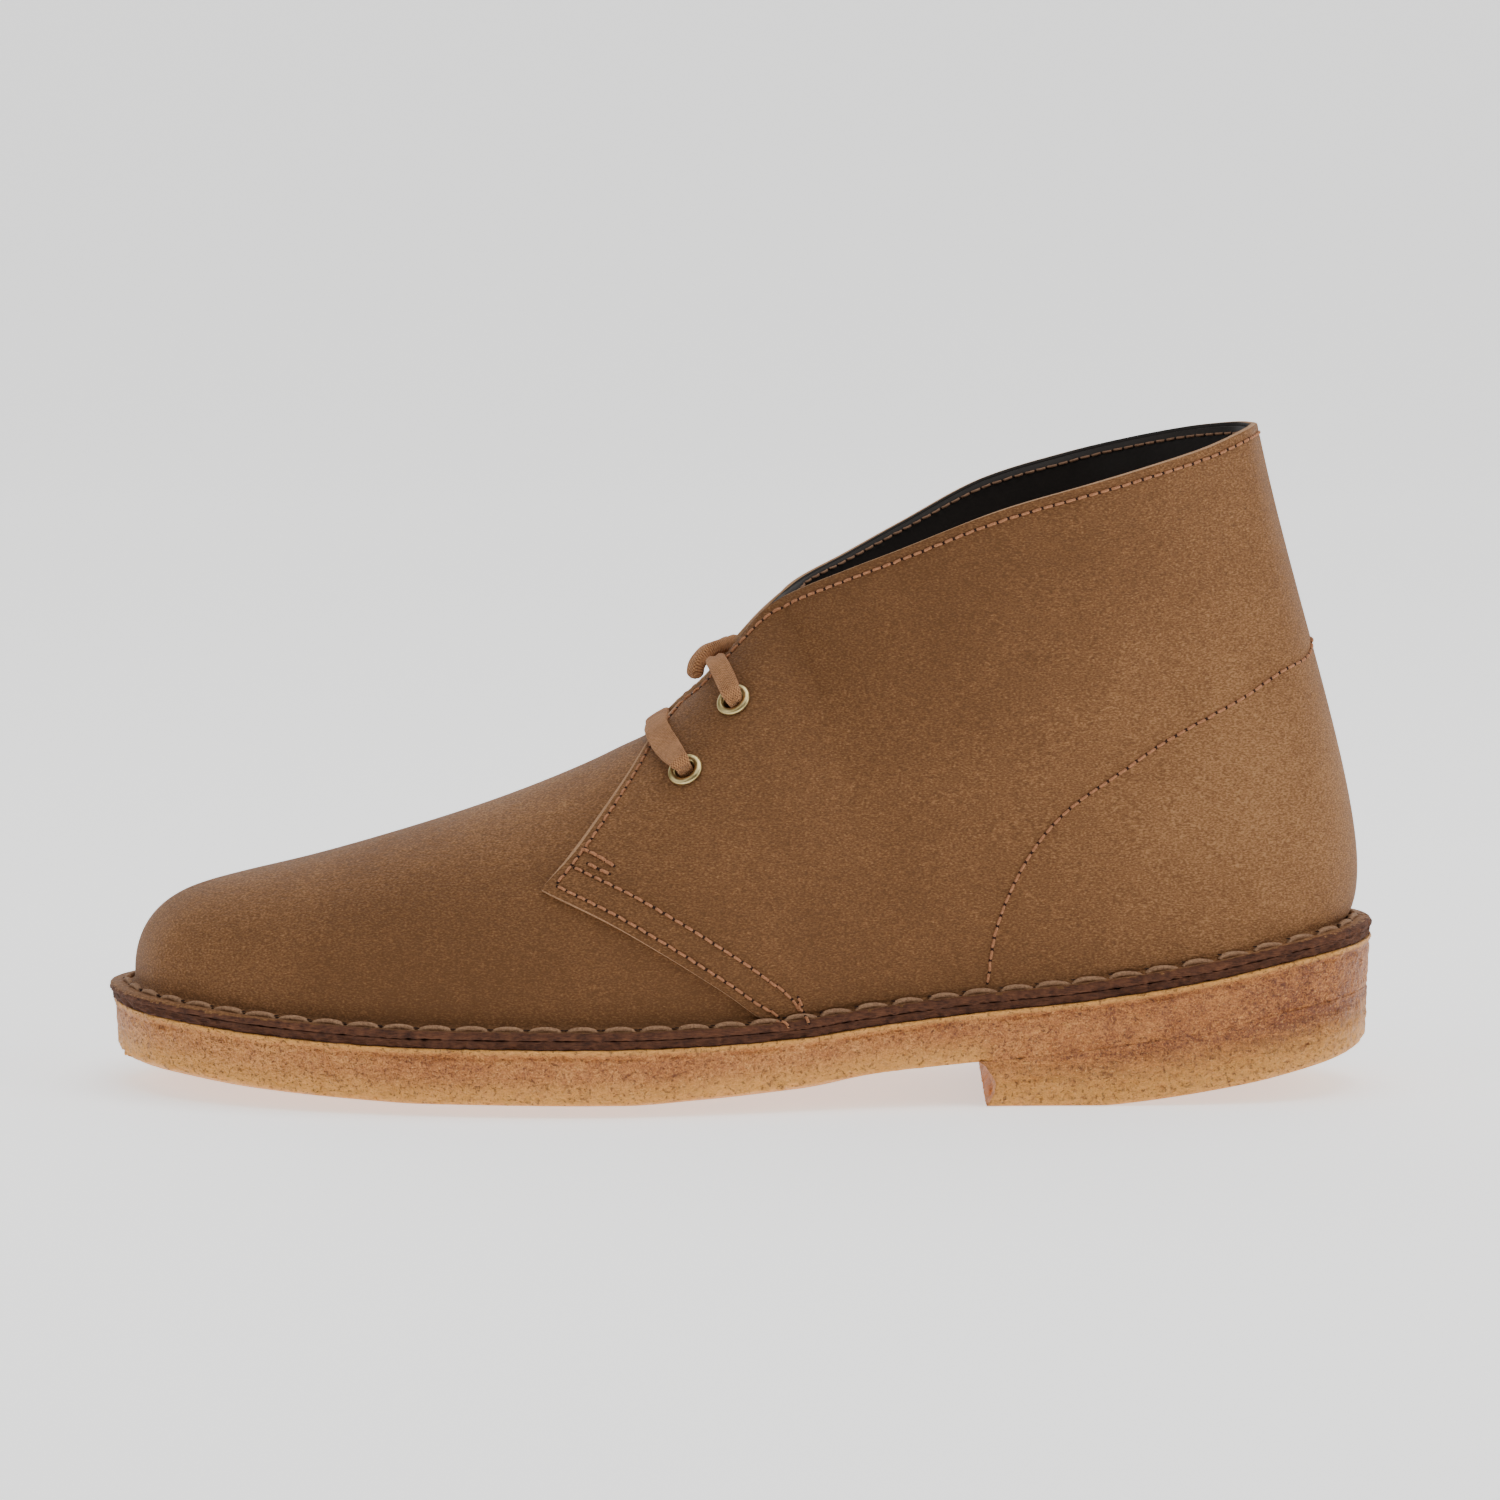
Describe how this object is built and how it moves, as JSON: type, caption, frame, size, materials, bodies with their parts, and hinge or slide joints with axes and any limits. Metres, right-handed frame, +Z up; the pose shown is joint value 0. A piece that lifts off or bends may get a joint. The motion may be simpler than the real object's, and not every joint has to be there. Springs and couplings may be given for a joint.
{
  "type": "desert boot",
  "caption": "Ankle-high stitch-down desert boot with open collar, lapped quarters laced over a tongue by two pairs of eyelets, and a thick crepe sole with a heel lift.",
  "frame": {"origin": "on the floor, under the middle of the boot's box", "axes": "+X from the toe to the heel, +Y to the medial side, +Z up"},
  "size_m": [0.3, 0.1022, 0.1583],
  "materials": {
    "crepe": "matt natural crepe with a crumbly side and a golden tinge",
    "heel_crepe": "matt natural crepe, browner and faintly layered",
    "midsole": "dark raw fibre edge",
    "insole": "dark smooth sock leather",
    "upper": "waxed brown nubuck with a fine speckled grain",
    "lining": "near-black smooth lining",
    "eyelet": "antique brass, satin",
    "lace": "soft flat woven cotton",
    "thread": "twisted orange-brown thread",
    "welt_thread": "thick waxed tan-brown thread"
  },
  "bodies": {
    "root": {"outsole": "crepe", "heel": "heel_crepe", "midsole": "midsole", "insole": "insole", "upper": "upper", "tongue": "upper", "eyelet_lower_lateral": "eyelet", "eyelet_lower_medial": "eyelet", "eyelet_upper_lateral": "eyelet", "eyelet_upper_medial": "eyelet", "lace_bar": "lace", "lace_end_lateral": "lace", "lace_end_medial": "lace"}
  },
  "joints": []
}
